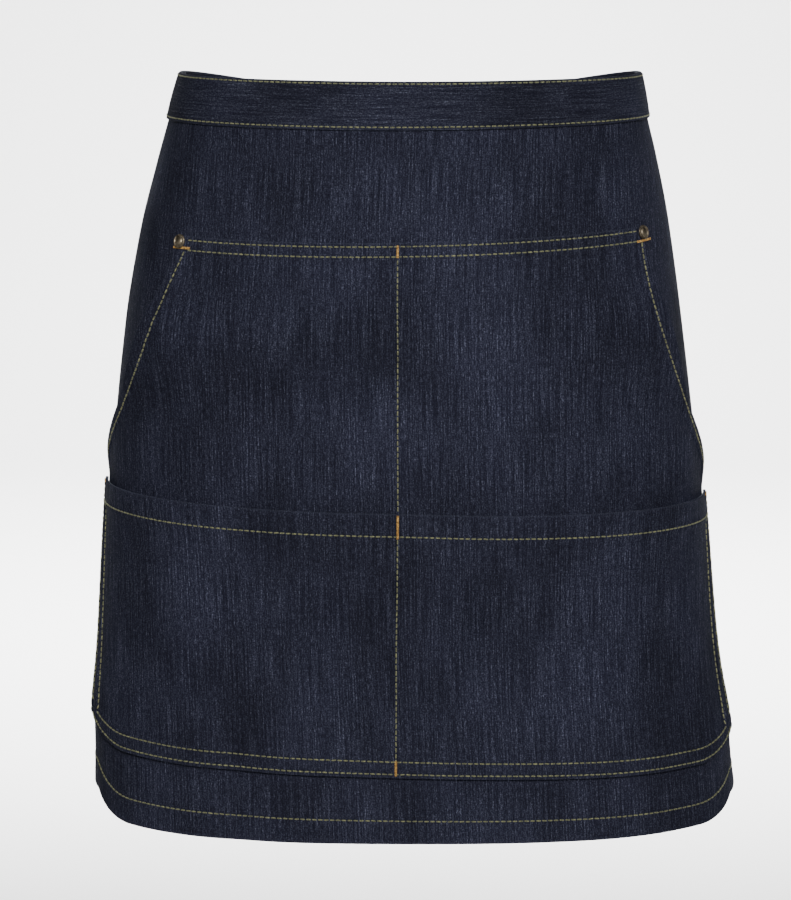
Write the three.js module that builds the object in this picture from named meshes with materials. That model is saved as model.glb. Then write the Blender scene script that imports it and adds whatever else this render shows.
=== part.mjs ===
import * as THREE from 'three';

// A waist apron of denim, in the shape it has when it is worn: a panel that hangs from
// a waistband, two pocket patches, two rivets, and straps knotted behind.
// Millimetres, +Z up, front facing -Y. The origin is the centre of the waist ring.

// The cut cloth
const clothWidth = 700;
const clothLength = 500;
const clothWall = 1.2;
const foldedWall = 1.0;
const sideHem = 12;
const footHem = 16.5;
const seamGap = 0.3;

// The ring that the wearer fills, to the inner face of the panel
const waistHalfWidth = 155.5;
const hemHalfWidth = 223.5;
const waistDepth = 94;
const hemDepth = 138;
const waistSquareness = 2.35;
const hemSquareness = 3.1;
const clothTurn = -8;
const backDrop = 12;

// How far the cloth swings aside, rises from its front to its sides, and leans, at most
const swaySize = 4.5;
const riseSize = 12;
const leanSize = 5.2;
const foldDepth = 3;

// The waistband
const bandHeight = 32;
const bandWall = 1.6;
const bandTuck = 13;
const bandRound = 1.2;
const bandOverrun = 1.5;

// The upper pocket, measured from the cloth's top edge and from the centre seam
const pocketTop = 104.3;
const pocketFoot = 455.7;
const pocketHalfWidth = 243;
const pocketShift = 8;
const pocketTopHalfWidth = 166;
const pocketTopShift = 14;
const mouthEnd = 262;
const leftMouthBend = 1.9;
const rightMouthBend = 2.5;
const mouthHem = 10;
const pocketTopHem = 10;
const pocketFootHem = 12.5;
const cornerRise = 18;
const cornerRun = 45;
const hemRiseShare = 0.67;
const riseHolds = 2.2;
const riseEnds = 3.4;
const handGape = 10;
const handSpan = 0.7;
const leftLipGape = 3.2;
const rightLipGape = 4.2;
const mouthReach = 70;
const mouthFade = 18;

// The lower pocket
const lowerTop = 281;
const lowerHem = 16.5;
const lowerGape = 8.5;
const lowerReach = 100;

// The rivets
const rivetRadius = 4.7;
const rivetHeight = 1.9;
const rivetFromEdge = 6.8;
const rivetDrop = 4;
const rivetSides = 16;

// The straps, the knot and the free ends
const strapWidth = 25;
const strapWall = 2;
const strapLap = 28;
const strapPinch = 13;
const pinchFrom = 0.3;
const pinchSwell = 1;
const knotHalfWidth = 14;
const knotHalfHeight = 11;
const knotHalfDepth = 9;
const knotSides = 16;
const knotRings = 10;
const tailLength = 240;
const tailSpread = 38;
const tailSwell = 12;
const tailOpens = 0.25;
const tailTopSwell = 0.5;

// How far each stretch of a turned edge takes to step down to single cloth
const hemStep = 2;

// The hang of the cloth, from its top edge to its foot. down is a share of the cloth's
// length, flare goes from the waist's size to the hem's, and sway, rise and lean are
// shares of their largest sizes. A positive lean lifts the +X side.
const hang = [
  { down: 0.00, flare: 0.000, sway: 0.20, rise: 0.54, lean: 0.00 },
  { down: 0.06, flare: 0.100, sway: -0.14, rise: 0.65, lean: 0.10 },
  { down: 0.12, flare: 0.210, sway: -0.35, rise: 0.80, lean: 0.35 },
  { down: 0.21, flare: 0.355, sway: -0.65, rise: 1.00, lean: 0.56 },
  { down: 0.34, flare: 0.512, sway: -0.85, rise: 0.92, lean: 0.20 },
  { down: 0.56, flare: 0.695, sway: -0.49, rise: 0.75, lean: -0.88 },
  { down: 0.75, flare: 0.819, sway: -0.18, rise: 0.70, lean: -1.00 },
  { down: 0.90, flare: 0.919, sway: 0.55, rise: 0.65, lean: -1.00 },
  { down: 1.00, flare: 1.000, sway: 1.00, rise: 0.72, lean: 0.00 },
];

// Folds, dents and swells that all layers share. across and down place the middle, as
// shares of half the cloth's width and of its length. turn is degrees from upright.
// long and wide are shares of the cloth's length, and lift is a share of the fold depth.
const folds = [
  { across: -0.07, down: 0.12, turn: 60, long: 0.09, wide: 0.025, lift: -0.5 },
  { across: 0.05, down: 0.12, turn: -50, long: 0.07, wide: 0.025, lift: -0.5 },
  { across: -0.24, down: 0.13, turn: 30, long: 0.07, wide: 0.05, lift: -0.7 },
  { across: -0.42, down: 0.37, turn: -40, long: 0.14, wide: 0.035, lift: 0.7 },
  { across: -0.30, down: 0.35, turn: -40, long: 0.14, wide: 0.035, lift: -0.7 },
  { across: -0.33, down: 0.52, turn: 10, long: 0.09, wide: 0.06, lift: 0.8 },
  { across: 0.07, down: 0.56, turn: 20, long: 0.06, wide: 0.04, lift: -0.8 },
  { across: 0.35, down: 0.42, turn: 35, long: 0.16, wide: 0.05, lift: 0.5 },
  { across: -0.40, down: 0.78, turn: 0, long: 0.20, wide: 0.045, lift: 0.8 },
  { across: -0.31, down: 0.80, turn: 0, long: 0.22, wide: 0.03, lift: -0.7 },
  { across: -0.19, down: 0.78, turn: 5, long: 0.20, wide: 0.05, lift: 0.6 },
  { across: 0.24, down: 0.74, turn: 15, long: 0.09, wide: 0.05, lift: -0.8 },
  { across: 0.40, down: 0.80, turn: 0, long: 0.20, wide: 0.05, lift: 0.6 },
  { across: 0.55, down: 0.82, turn: 0, long: 0.20, wide: 0.03, lift: -0.8 },
  { across: -0.68, down: 0.88, turn: 0, long: 0.07, wide: 0.05, lift: 1.2 },
  { across: 0.72, down: 0.88, turn: 0, long: 0.07, wide: 0.05, lift: 1.2 },
];

// The free ends, from the knot down: out is a share of the tail's spread, back of its
// swell, and twist is degrees.
const tailHang = [
  { down: 0.00, out: 0.22, back: 0.0, twist: 0 },
  { down: 0.25, out: 0.45, back: 0.7, twist: 12 },
  { down: 0.50, out: 0.70, back: 1.0, twist: 20 },
  { down: 0.75, out: 0.88, back: 0.8, twist: 14 },
  { down: 1.00, out: 1.00, back: 0.5, twist: 8 },
];

// A rivet's outline: out is a share of its radius and up of its height.
const rivetProfile = [
  { out: 0.00, up: 0.00 },
  { out: 0.92, up: 0.00 },
  { out: 1.00, up: 0.25 },
  { out: 0.92, up: 0.75 },
  { out: 0.72, up: 0.60 },
  { out: 0.42, up: 0.65 },
  { out: 0.28, up: 1.00 },
  { out: 0.00, up: 1.00 },
];

const halfCloth = clothWidth / 2;
const waistLevel = bandHeight / 2;
const bandInner = -seamGap - bandWall;
const bandOuter = clothWall + seamGap + bandWall;

// Reads a table at a place down its length, by a smooth curve through its rows.
function readTable(table, down, column) {
  let row = 0;
  while (row < table.length - 2 && down > table[row + 1].down) {
    row += 1;
  }
  const before = table[Math.max(row - 1, 0)];
  const start = table[row];
  const end = table[row + 1];
  const after = table[Math.min(row + 2, table.length - 1)];
  const width = end.down - start.down;
  const share = THREE.MathUtils.clamp((down - start.down) / width, 0, 1);
  const startSlope = (end[column] - before[column]) / (end.down - before.down) * width;
  const endSlope = (after[column] - start[column]) / (after.down - start.down) * width;
  const square = share * share;
  const cube = square * share;
  return start[column] * (2 * cube - 3 * square + 1) + startSlope * (cube - 2 * square + share)
    + end[column] * (3 * square - 2 * cube) + endSlope * (cube - square);
}

// One level of the hanging ring: its half width, depth and squareness, with the arc
// length from the middle of the front to each of many angles.
const ringSteps = 720;
const ringCache = new Map();
function ringAt(drop) {
  if (ringCache.has(drop)) {
    return ringCache.get(drop);
  }
  const down = drop / clothLength;
  const flare = readTable(hang, down, 'flare');
  const halfWidth = waistHalfWidth + (hemHalfWidth - waistHalfWidth) * flare;
  const depth = waistDepth + (hemDepth - waistDepth) * flare;
  const squareness = waistSquareness + (hemSquareness - waistSquareness) * down;
  const points = [];
  for (let step = 0; step <= ringSteps; step += 1) {
    const angle = Math.PI * step / ringSteps;
    const across = Math.sin(angle);
    const along = Math.cos(angle);
    const reach = Math.pow(
      Math.pow(across / halfWidth, squareness) + Math.pow(Math.abs(along) / depth, squareness),
      -1 / squareness);
    const x = reach * across;
    const y = -reach * along;
    const last = points[points.length - 1];
    const arc = last ? last.arc + Math.hypot(x - last.x, y - last.y) : 0;
    points.push({ x, y, arc });
  }
  const sideArc = points[ringSteps / 2].arc;
  const halfLoop = points[ringSteps].arc;
  const ring = { down, halfWidth, points, sideArc, halfLoop };
  ringCache.set(drop, ring);
  return ring;
}

// How high a level stands above its middle in front. It rises to the sides as a cut edge
// does that is wrapped round a flared body, and behind it comes down to the knot.
function riseAt(ring, arc) {
  const rise = riseSize * readTable(hang, ring.down, 'rise');
  const turn = arc / ring.sideArc;
  if (turn < 1) {
    return rise * turn * turn;
  }
  const back = Math.min((arc - ring.sideArc) / (ring.halfLoop - ring.sideArc), 1);
  const square = back * back;
  const cube = square * back;
  return rise * (2 * cube - 3 * square + 1) + 2 * rise * (cube - 2 * square + back)
    - backDrop * (3 * square - 2 * cube);
}

// A point of the panel's inner face: across is measured along the cloth from the centre
// seam, and drop down the cloth from its top edge.
function clothPoint(across, drop) {
  const ring = ringAt(drop);
  const arc = across + clothTurn;
  const far = Math.min(Math.abs(arc), ring.halfLoop);
  let low = 0;
  let high = ringSteps;
  while (high - low > 1) {
    const middle = (low + high) >> 1;
    if (ring.points[middle].arc > far) {
      high = middle;
    } else {
      low = middle;
    }
  }
  const before = ring.points[low];
  const after = ring.points[high];
  const share = (far - before.arc) / (after.arc - before.arc);
  const side = Math.sign(arc) || 1;
  const x = side * (before.x + (after.x - before.x) * share);
  const y = before.y + (after.y - before.y) * share;
  const lean = leanSize * readTable(hang, ring.down, 'lean') * x / ring.halfWidth;
  const sway = swaySize * readTable(hang, ring.down, 'sway');
  return new THREE.Vector3(x + sway, y, waistLevel - drop + riseAt(ring, far) + lean);
}

// The direction out of the cloth at a point of it.
function clothNormal(across, drop) {
  const step = 2;
  const along = clothPoint(across + step, drop).sub(clothPoint(across - step, drop));
  const down = clothPoint(across, drop + step).sub(clothPoint(across, drop - step));
  return down.cross(along).normalize();
}

// How far the folds carry the cloth out at a point of it. They fade out under the band.
function foldLift(across, drop) {
  let lift = 0;
  for (const fold of folds) {
    const aside = across - fold.across * halfCloth;
    const below = drop - fold.down * clothLength;
    const turn = THREE.MathUtils.degToRad(fold.turn);
    const along = below * Math.cos(turn) - aside * Math.sin(turn);
    const over = aside * Math.cos(turn) + below * Math.sin(turn);
    const long = along / (fold.long * clothLength);
    const wide = over / (fold.wide * clothLength);
    lift += fold.lift * foldDepth * Math.exp(-long * long - wide * wide);
  }
  return lift * THREE.MathUtils.smoothstep(drop, bandHeight, 2 * bandHeight);
}

// A point that lies off the panel's inner face by a distance.
function offCloth(across, drop, distance) {
  const point = clothPoint(across, drop);
  return point.addScaledVector(clothNormal(across, drop), distance + foldLift(across, drop));
}

// The two side edges of the upper pocket at a level: the slanted mouth, then straight.
function pocketEdge(side, level) {
  const top = side * pocketTopHalfWidth + pocketTopShift;
  const foot = side * pocketHalfWidth + pocketShift;
  const down = THREE.MathUtils.clamp((level - pocketTop) / (mouthEnd - pocketTop), 0, 1);
  const bend = side < 0 ? leftMouthBend : rightMouthBend;
  return top + (foot - top) * Math.pow(down, bend);
}

// How far a level of the cloth is drawn up towards the pockets' two bottom corners. The
// panel's foot keeps a share of that rise, which holds behind the corners, over some of
// its own run, before it ends.
function cornerLift(across, level) {
  const pocketBody = lowerTop + lowerHem + hemStep;
  const nearFoot = THREE.MathUtils.clamp((level - pocketBody) / (pocketFoot - pocketBody), 0, 1);
  const belowFoot = Math.max((level - pocketFoot) / (clothLength - pocketFoot), 0);
  const kept = 1 - (1 - hemRiseShare) * belowFoot;
  const aside = (Math.abs(across - pocketShift) - pocketHalfWidth + cornerRun) / cornerRun;
  const nearCorner = THREE.MathUtils.clamp(aside, 0, 1);
  const past = THREE.MathUtils.smoothstep(aside, riseHolds, riseEnds);
  return cornerRise * kept * nearFoot ** 2 * nearCorner ** 2 * (1 - past);
}

// How far the upper pocket stands off the panel where its mouths gape: most where a hand
// goes in, over a share of the mouth from its top, and a little along the lip below.
function mouthGap(across, level) {
  const side = across < 0 ? -1 : 1;
  const lip = across < 0 ? leftLipGape : rightLipGape;
  const inside = Math.abs(pocketEdge(side, level) - across);
  const top = pocketTop + pocketTopHem;
  const along = THREE.MathUtils.clamp((level - top) / (mouthEnd + mouthFade - top), 0, 1);
  const hand = Math.sin(Math.PI * Math.min(along / handSpan, 1)) ** 2;
  const gape = handGape * hand + lip * Math.sin(Math.PI * along * along);
  return gape * Math.exp(-((inside / mouthReach) ** 2));
}

// How far the lower pocket stands off the upper one, most at the mouth of each half.
function lowerGap(across, level) {
  const side = across < 0 ? -1 : 1;
  const swell = Math.sin(Math.PI * Math.min(across / pocketEdge(side, pocketFoot), 1));
  const closing = THREE.MathUtils.clamp(1 - (level - lowerTop) / lowerReach, 0, 1);
  return lowerGape * swell * closing * closing;
}

// The share of a turned edge's extra wall at a distance inside that edge.
function turned(inside, hem) {
  return 1 - THREE.MathUtils.smoothstep(inside, hem, hem + hemStep);
}

// Cuts the spans between marks into equal parts, and gives every line in order.
function cutSpans(marks) {
  const lines = [];
  for (let index = 0; index < marks.length - 1; index += 1) {
    const { at, parts } = marks[index];
    for (let part = 0; part < parts; part += 1) {
      lines.push(at + (marks[index + 1].at - at) * part / parts);
    }
  }
  lines.push(marks[marks.length - 1].at);
  return lines;
}

// The upright lines that the cloth's layers share, so that their facets lie side by side.
// They follow the side edges, the pocket's slanted mouths and the hem lines.
const sideStrips = 8;
const pocketStrips = 14;
function columnsAt(level) {
  const left = pocketEdge(-1, level);
  const right = pocketEdge(1, level);
  return cutSpans([
    { at: -halfCloth, parts: 1 },
    { at: -halfCloth + sideHem, parts: 1 },
    { at: -halfCloth + sideHem + hemStep, parts: 1 },
    { at: -halfCloth + strapLap, parts: sideStrips },
    { at: left, parts: 1 },
    { at: left + mouthHem, parts: 1 },
    { at: left + mouthHem + hemStep, parts: pocketStrips },
    { at: 0, parts: pocketStrips },
    { at: right - mouthHem - hemStep, parts: 1 },
    { at: right - mouthHem, parts: 1 },
    { at: right, parts: sideStrips },
    { at: halfCloth - strapLap, parts: 1 },
    { at: halfCloth - sideHem - hemStep, parts: 1 },
    { at: halfCloth - sideHem, parts: 1 },
    { at: halfCloth, parts: 1 },
  ]);
}
const lapColumns = 3;
const pocketFirstColumn = lapColumns + sideStrips;
const pocketLastColumn = pocketFirstColumn + 2 * pocketStrips + 4;

// The levels that the layers share, between the lines that the seams and hems follow.
const levels = cutSpans([
  { at: bandHeight - bandTuck, parts: 1 },
  { at: bandHeight, parts: 3 },
  { at: pocketTop, parts: 1 },
  { at: pocketTop + pocketTopHem, parts: 1 },
  { at: pocketTop + pocketTopHem + hemStep, parts: 5 },
  { at: mouthEnd, parts: 1 },
  { at: lowerTop, parts: 1 },
  { at: lowerTop + lowerHem, parts: 1 },
  { at: lowerTop + lowerHem + hemStep, parts: 4 },
  { at: pocketFoot - pocketFootHem - hemStep, parts: 1 },
  { at: pocketFoot - pocketFootHem, parts: 1 },
  { at: pocketFoot, parts: 1 },
  { at: clothLength - footHem - hemStep, parts: 1 },
  { at: clothLength - footHem, parts: 1 },
  { at: clothLength, parts: 1 },
]);

// A closed geometry from its points and the corners of its triangles.
function closedGeometry(points, corners) {
  const geometry = new THREE.BufferGeometry();
  const numbers = points.flatMap((point) => point.toArray());
  geometry.setAttribute('position', new THREE.Float32BufferAttribute(numbers, 3));
  geometry.setIndex(corners);
  geometry.computeVertexNormals();
  return geometry;
}

// A cloth layer with an outer and an inner face and a wall round its rim.
function layer(rows, inner, outer) {
  const high = rows.length;
  const wide = rows[0].length;
  const points = [];
  for (const face of [outer, inner]) {
    for (const row of rows) {
      for (const spot of row) {
        const drop = spot.level - cornerLift(spot.across, spot.level);
        points.push(offCloth(spot.across, drop, face(spot.across, spot.level)));
      }
    }
  }
  const outside = (row, column) => row * wide + column;
  const inside = (row, column) => high * wide + outside(row, column);
  const corners = [];
  for (let row = 0; row < high - 1; row += 1) {
    for (let column = 0; column < wide - 1; column += 1) {
      corners.push(outside(row, column), outside(row + 1, column), outside(row, column + 1));
      corners.push(outside(row, column + 1), outside(row + 1, column), outside(row + 1, column + 1));
      corners.push(inside(row, column), inside(row, column + 1), inside(row + 1, column));
      corners.push(inside(row, column + 1), inside(row + 1, column + 1), inside(row + 1, column));
    }
  }
  for (let row = 0; row < high - 1; row += 1) {
    const last = wide - 1;
    corners.push(outside(row, 0), inside(row, 0), outside(row + 1, 0));
    corners.push(outside(row + 1, 0), inside(row, 0), inside(row + 1, 0));
    corners.push(outside(row, last), outside(row + 1, last), inside(row, last));
    corners.push(outside(row + 1, last), inside(row + 1, last), inside(row, last));
  }
  for (let column = 0; column < wide - 1; column += 1) {
    const last = high - 1;
    corners.push(outside(0, column), outside(0, column + 1), inside(0, column));
    corners.push(outside(0, column + 1), inside(0, column + 1), inside(0, column));
    corners.push(outside(last, column), inside(last, column), outside(last, column + 1));
    corners.push(outside(last, column + 1), inside(last, column), inside(last, column + 1));
  }
  return closedGeometry(points, corners);
}

// A strip whose flat section is carried along a line of stations, capped at both ends.
// place turns a station and a section point into a point in space. Its facets are cut
// the same way as a layer's, so that the two can lie close.
function strip(stations, outline, place) {
  const section = THREE.ShapeUtils.isClockWise(outline) ? [...outline].reverse() : outline;
  const sides = section.length;
  const points = stations.flatMap((station) => section.map((corner) => place(station, corner)));
  const corners = [];
  for (let step = 0; step < stations.length - 1; step += 1) {
    for (let side = 0; side < sides; side += 1) {
      const next = (side + 1) % sides;
      const here = step * sides;
      const there = here + sides;
      if (section[next].y > section[side].y) {
        corners.push(here + side, here + next, there + side);
        corners.push(here + next, there + next, there + side);
      } else {
        corners.push(here + side, here + next, there + next);
        corners.push(here + side, there + next, there + side);
      }
    }
  }
  const caps = THREE.ShapeUtils.triangulateShape(section, []);
  const end = (stations.length - 1) * sides;
  for (const [a, b, c] of caps) {
    corners.push(a, c, b);
    corners.push(end + a, end + b, end + c);
  }
  return closedGeometry(points, corners);
}

const denim = { color: 0x24262f, roughness: 0.85, metalness: 0 };
const brass = { color: 0x7a684e, roughness: 0.45, metalness: 0.9 };

const apron = new THREE.Group();
function addPiece(name, geometry, finish) {
  const piece = new THREE.Mesh(geometry, new THREE.MeshStandardMaterial(finish));
  piece.name = name;
  apron.add(piece);
  return piece;
}

// The grid of a layer between two levels and two columns.
function grid(top, foot, firstColumn, lastColumn) {
  return levels.filter((level) => level >= top && level <= foot).map((level) => columnsAt(level)
    .slice(firstColumn, lastColumn + 1)
    .map((across) => ({ across, level })));
}

// The panel is single cloth, turned under at its foot and along both side edges.
function makeMainPanel() {
  const panelTop = bandHeight - bandTuck;
  const inner = (across, level) => {
    const side = turned(halfCloth - Math.abs(across), sideHem);
    const foot = turned(clothLength - level, footHem);
    const belowBand = THREE.MathUtils.smoothstep(level, bandHeight + seamGap, 2 * bandHeight);
    return -foldedWall * Math.max(side * belowBand, foot);
  };
  const rows = grid(panelTop, clothLength, 0, columnsAt(clothLength).length - 1);
  addPiece('main_panel', layer(rows, inner, () => clothWall), denim);
}

// The band is folded over the panel's top edge, which sits in the slot between its
// two plies. Its upper corners are round.
function makeWaistband() {
  const slotTop = bandHeight - bandTuck - seamGap;
  const section = [
    new THREE.Vector2(bandOuter, bandHeight),
    new THREE.Vector2(bandOuter, bandRound),
    new THREE.Vector2(bandOuter - bandRound, 0),
    new THREE.Vector2(bandInner + bandRound, 0),
    new THREE.Vector2(bandInner, bandRound),
    new THREE.Vector2(bandInner, bandHeight),
    new THREE.Vector2(-seamGap, bandHeight),
    new THREE.Vector2(-seamGap, slotTop),
    new THREE.Vector2(clothWall + seamGap, slotTop),
    new THREE.Vector2(clothWall + seamGap, bandHeight),
  ];
  const stations = columnsAt(0);
  stations[0] -= bandOverrun;
  stations[stations.length - 1] += bandOverrun;
  const place = (across, corner) => offCloth(across, corner.y, corner.x);
  addPiece('waistband', strip(stations, section, place), denim);
}

// The upper pocket is single cloth with a turned top, foot and sides.
function upperPocketInner(across, level) {
  return clothWall + seamGap + mouthGap(across, level);
}
function pocketHemShare(across, level) {
  const side = across < 0 ? -1 : 1;
  const beside = turned(Math.abs(pocketEdge(side, level) - across), mouthHem);
  const below = turned(pocketFoot - level, pocketFootHem);
  return Math.max(beside, below);
}
function upperPocketOuter(across, level) {
  const top = turned(level - pocketTop, pocketTopHem);
  const covered = THREE.MathUtils.smoothstep(level, mouthEnd, lowerTop);
  const share = Math.max(top, pocketHemShare(across, level) * (1 - covered));
  return upperPocketInner(across, level) + clothWall + foldedWall * share;
}
function makeUpperPocket() {
  const rows = grid(pocketTop, pocketFoot, pocketFirstColumn, pocketLastColumn);
  addPiece('upper_pocket', layer(rows, upperPocketInner, upperPocketOuter), denim);
}

// The lower pocket lies on the upper one and has the same sides and foot.
function lowerPocketInner(across, level) {
  return upperPocketOuter(across, level) + seamGap + lowerGap(across, level);
}
function lowerPocketOuter(across, level) {
  const top = turned(level - lowerTop, lowerHem);
  const share = Math.max(top, pocketHemShare(across, level));
  return lowerPocketInner(across, level) + clothWall + foldedWall * share;
}
function makeLowerPocket() {
  const rows = grid(lowerTop, pocketFoot, pocketFirstColumn, pocketLastColumn);
  addPiece('lower_pocket', layer(rows, lowerPocketInner, lowerPocketOuter), denim);
}

// A rivet is a round cap with a raised rim and a low button in its middle.
function makeRivet(name, side) {
  const outline = rivetProfile.map(({ out, up }) => (
    new THREE.Vector2(out * rivetRadius, up * rivetHeight)));
  const drop = pocketTop + rivetDrop;
  const across = pocketEdge(side, drop) - side * rivetFromEdge;
  const seat = upperPocketOuter(across, drop) + 2 * seamGap;
  const rivet = addPiece(name, new THREE.LatheGeometry(outline, rivetSides), brass);
  rivet.position.copy(offCloth(across, drop, seat));
  rivet.quaternion.setFromUnitVectors(new THREE.Vector3(0, 1, 0), clothNormal(across, drop));
}

// The middle of the knot, where the two straps meet behind.
const knotArc = ringAt(waistLevel).halfLoop - clothTurn;
const strapInner = bandInner - seamGap - strapWall;
const knotCentre = offCloth(knotArc, waistLevel, strapInner + strapWall / 2);

// A strap's section, one wide and one thick.
const flatSection = [
  new THREE.Vector2(-0.5, -0.5),
  new THREE.Vector2(0.5, -0.5),
  new THREE.Vector2(0.5, 0.5),
  new THREE.Vector2(-0.5, 0.5),
];
const tieSteps = 8;
const tailSteps = 14;

// A strap is sewn inside the band's end and runs round the back to the knot, where it is
// pinched: narrower and thicker.
function makeTie(name, side) {
  const bandEnd = side * (halfCloth + bandOverrun);
  const lap = [halfCloth - strapLap, halfCloth - sideHem - hemStep, halfCloth - sideHem]
    .map((across) => ({ across: side * across, share: 0 }));
  const free = cutSpans([{ at: 0, parts: tieSteps }, { at: 1, parts: 1 }])
    .map((share) => ({ across: bandEnd, share }));
  const stations = side > 0 ? [...lap, ...free] : [...lap, ...free].reverse();
  const place = (station, corner) => {
    const pinch = THREE.MathUtils.smoothstep(station.share, pinchFrom, 1);
    const width = strapWidth + (strapPinch - strapWidth) * pinch;
    const wall = strapWall * (1 + pinchSwell * pinch);
    const drop = waistLevel + corner.y * width;
    const knotSide = side * (ringAt(drop).halfLoop - knotHalfWidth - seamGap) - clothTurn;
    const across = station.across + (knotSide - bandEnd) * station.share;
    return offCloth(across, drop, strapInner + strapWall / 2 + corner.x * wall);
  };
  addPiece(name, strip(stations, flatSection, place), denim);
}

// The knot is one rounded lump of gathered strap.
function makeKnot() {
  const knot = addPiece('back_knot', new THREE.SphereGeometry(1, knotSides, knotRings), denim);
  knot.geometry.scale(knotHalfWidth, knotHalfDepth, knotHalfHeight);
  knot.position.copy(knotCentre);
}

// A free end hangs flat from under the knot, spreading outward.
function makeTail(name, side) {
  const top = knotHalfHeight + seamGap;
  const stations = cutSpans([{ at: 0, parts: tailSteps }, { at: 1, parts: 1 }]);
  const place = (down, corner) => {
    const flat = THREE.MathUtils.smoothstep(down, 0, tailOpens);
    const width = strapPinch + (strapWidth - strapPinch) * flat;
    const wall = strapWall * (1 + tailTopSwell * (1 - flat));
    const out = side * tailSpread * readTable(tailHang, down, 'out');
    const back = tailSwell * readTable(tailHang, down, 'back');
    const twist = side * THREE.MathUtils.degToRad(readTable(tailHang, down, 'twist'));
    const wide = corner.x * width;
    const thick = -corner.y * wall;
    return new THREE.Vector3(
      knotCentre.x + out + wide * Math.cos(twist) - thick * Math.sin(twist),
      knotCentre.y + back + wide * Math.sin(twist) + thick * Math.cos(twist),
      knotCentre.z - top - tailLength * down);
  };
  addPiece(name, strip(stations, flatSection, place), denim);
}

makeMainPanel();
makeWaistband();
makeUpperPocket();
makeLowerPocket();
makeRivet('rivet_left', -1);
makeRivet('rivet_right', 1);
makeTie('tie_left', -1);
makeTie('tie_right', 1);
makeKnot();
makeTail('tail_left', -1);
makeTail('tail_right', 1);

export default apron;
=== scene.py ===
import math
import bpy
import numpy as np
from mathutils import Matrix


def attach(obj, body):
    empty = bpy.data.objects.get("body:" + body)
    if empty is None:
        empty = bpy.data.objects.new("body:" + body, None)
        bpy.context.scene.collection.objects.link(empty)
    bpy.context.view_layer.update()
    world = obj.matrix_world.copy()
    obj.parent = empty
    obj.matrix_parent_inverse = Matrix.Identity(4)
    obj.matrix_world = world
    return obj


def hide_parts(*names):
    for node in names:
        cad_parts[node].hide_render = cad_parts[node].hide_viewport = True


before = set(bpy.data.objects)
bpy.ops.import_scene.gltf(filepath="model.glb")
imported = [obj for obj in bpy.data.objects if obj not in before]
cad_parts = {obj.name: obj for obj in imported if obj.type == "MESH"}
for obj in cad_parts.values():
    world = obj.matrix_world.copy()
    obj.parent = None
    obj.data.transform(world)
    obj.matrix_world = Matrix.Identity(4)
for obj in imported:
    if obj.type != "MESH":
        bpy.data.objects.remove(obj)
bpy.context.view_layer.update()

# The camera stands in front at the height of the waistband and looks a little down, with
# the apron's middle just right of the middle of the picture.
camera_data = bpy.data.cameras.new("camera")
camera_data.sensor_width = 36
camera_data.lens = 114.1
camera = bpy.data.objects.new("camera", camera_data)
camera.location = (0, -1.974, 0.023)
camera.rotation_euler = (math.radians(90 - 7.57), 0, math.radians(0.27))
bpy.context.scene.collection.objects.link(camera)
bpy.context.scene.camera = camera


def hex_colour(code, alpha=1.0):
    """An sRGB hex colour as the linear colour that a socket takes."""
    shares = [int(code[i:i + 2], 16) / 255 for i in (0, 2, 4)]
    linear = [s / 12.92 if s <= 0.04045 else ((s + 0.055) / 1.055) ** 2.4 for s in shares]
    return tuple(linear) + (alpha,)


def node(tree, kind, inputs=None, **settings):
    """Adds a node with its settings, and its inputs as links or as values."""
    made = tree.nodes.new(kind)
    for name, value in settings.items():
        setattr(made, name, value)
    for key, value in (inputs or {}).items():
        if isinstance(value, bpy.types.NodeSocket):
            tree.links.new(value, made.inputs[key])
        else:
            made.inputs[key].default_value = value
    return made


def new_material(name):
    """A material with only its output, and its node tree."""
    made = bpy.data.materials.new(name)
    made.use_nodes = True
    made.node_tree.nodes.clear()
    return made, made.node_tree


# The floor is a wide sheet of pale studio card, at the height that the wearer's floor
# would have, which curves up far behind the apron.
floor_level, floor_front, floor_back = -0.95, -12.0, 5.0
floor_curve, floor_top, floor_half_width = 2.0, 6.0, 12.0
curve_steps = 16
profile = [(floor_front, floor_level)]
for step in range(curve_steps + 1):
    turn = math.pi / 2 * step / curve_steps
    profile.append((floor_back + floor_curve * math.sin(turn),
                    floor_level + floor_curve * (1 - math.cos(turn))))
profile.append((floor_back + floor_curve, floor_top))
floor_points = [(side * floor_half_width, along, height)
                for along, height in profile for side in (-1, 1)]
floor_faces = [(2 * i, 2 * i + 1, 2 * i + 3, 2 * i + 2) for i in range(len(profile) - 1)]
floor_mesh = bpy.data.meshes.new("floor")
floor_mesh.from_pydata(floor_points, [], floor_faces)
floor_mesh.polygons.foreach_set("use_smooth", [True] * len(floor_faces))
floor = bpy.data.objects.new("floor", floor_mesh)
bpy.context.scene.collection.objects.link(floor)
floor_card, tree = new_material("pale_card")
shader = node(tree, "ShaderNodeBsdfPrincipled", {
    "Base Color": hex_colour("e6e6e6"), "Roughness": 0.9, "Specular IOR Level": 0.1,
    "Emission Color": (1, 1, 1, 1), "Emission Strength": 0.16})
node(tree, "ShaderNodeOutputMaterial", {"Surface": shader.outputs[0]})
floor_mesh.materials.append(floor_card)

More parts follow.
